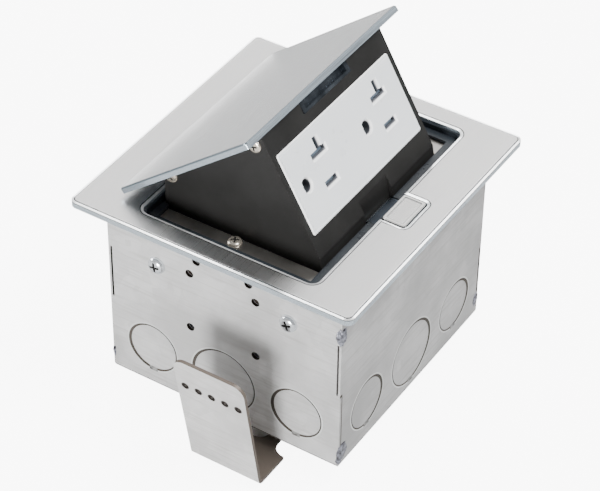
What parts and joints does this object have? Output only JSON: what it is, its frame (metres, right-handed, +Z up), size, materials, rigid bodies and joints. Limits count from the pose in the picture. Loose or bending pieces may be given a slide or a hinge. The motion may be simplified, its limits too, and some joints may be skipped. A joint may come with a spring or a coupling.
{
  "type": "countertop outlet box",
  "caption": "Countertop outlet box with a brushed steel flange and a push button that releases a spring-raised duplex receptacle under a steel lid.",
  "frame": {"origin": "centre of the flange on its underside, which is the countertop's surface", "axes": "+Z up out of the counter, +X along the edge that holds the button, +Y from the button to the hinge"},
  "size_m": [0.16, 0.1206, 0.1428],
  "materials": {
    "brushed_steel": "fine straight brushing with polished bevels",
    "galvanised": "galvanised sheet, satin",
    "black_coat": "satin black powder coat",
    "white_plastic": "smooth white thermoplastic",
    "grey_plastic": "moulded, matte",
    "shutter_plastic": "moulded, matte",
    "steel": "bright zinc-plated steel",
    "plated_screw": "nickel-plated",
    "brass": "bare brass",
    "green_screw": "green dyed zinc plate"
  },
  "bodies": {
    "base": {"steel_box": "galvanised", "trim_frame": "brushed_steel", "opening_liner": "black_coat", "rail_left": "galvanised", "rail_right": "galvanised", "box_bracket_left": "galvanised", "box_bracket_right": "galvanised", "ledge_screws": "plated_screw", "box_screws": "plated_screw", "hinge_block_left": "black_coat", "hinge_block_right": "black_coat", "hinge_block_screws": "plated_screw", "pivot_pin_left": "steel", "pivot_pin_right": "steel", "retaining_rings": "steel", "hinge_spring_left": "steel", "hinge_spring_right": "steel", "latch_case": "galvanised", "latch_springs": "steel", "button_spring": "steel", "counter_clamp_left": "galvanised", "counter_clamp_right": "galvanised", "clamp_spacers": "galvanised", "clamp_screws": "plated_screw", "clamp_nuts": "plated_screw", "box_ground_screw": "green_screw"},
    "popup": {"popup_housing": "black_coat", "lid": "brushed_steel", "lid_screws": "plated_screw", "latch_keeper": "steel", "receptacle_face": "white_plastic", "receptacle_body": "grey_plastic", "receptacle_strap": "galvanised", "line_contacts": "brass", "terminal_screws": "brass", "stop_pins": "steel"},
    "push_button": {"button": "brushed_steel"},
    "bolt": {"latch_bolt": "steel"},
    "left_shutter": {"shutter_left": "shutter_plastic"},
    "right_shutter": {"shutter_right": "shutter_plastic"}
  },
  "joints": [
    {"name": "popup_hinge", "type": "hinge", "parent": "base", "child": "popup", "pos_m": [0, 0.043, -0.0135], "axis": [1, 0, 0], "range_deg": [0, 38.9], "stiffness_Nm_per_rad": 0.3, "springref_deg": -45.84, "deforming": ["hinge_spring_left", "hinge_spring_right"]},
    {"name": "button_press", "type": "slide", "parent": "base", "child": "push_button", "axis": [0, 0, -1], "range_m": [0, 0.0022], "stiffness_N_per_m": 400, "springref_m": -0.002, "deforming": ["button_spring"]},
    {"name": "latch_slide", "type": "slide", "parent": "base", "child": "bolt", "axis": [0, -1, 0], "range_m": [0, 0.0022], "stiffness_N_per_m": 200, "springref_m": -0.002, "deforming": ["latch_springs"]},
    {"name": "left_shutter_slide", "type": "slide", "parent": "popup", "child": "left_shutter", "axis": [0, -0.4939, -0.8695], "range_m": [0, 0.0024], "stiffness_N_per_m": 60, "springref_m": -0.001},
    {"name": "right_shutter_slide", "type": "slide", "parent": "popup", "child": "right_shutter", "axis": [0, -0.4939, -0.8695], "range_m": [0, 0.0024], "stiffness_N_per_m": 60, "springref_m": -0.001}
  ],
  "couplings": [
    {"joint": "latch_slide", "follows": "button_press", "ratio": 1}
  ]
}
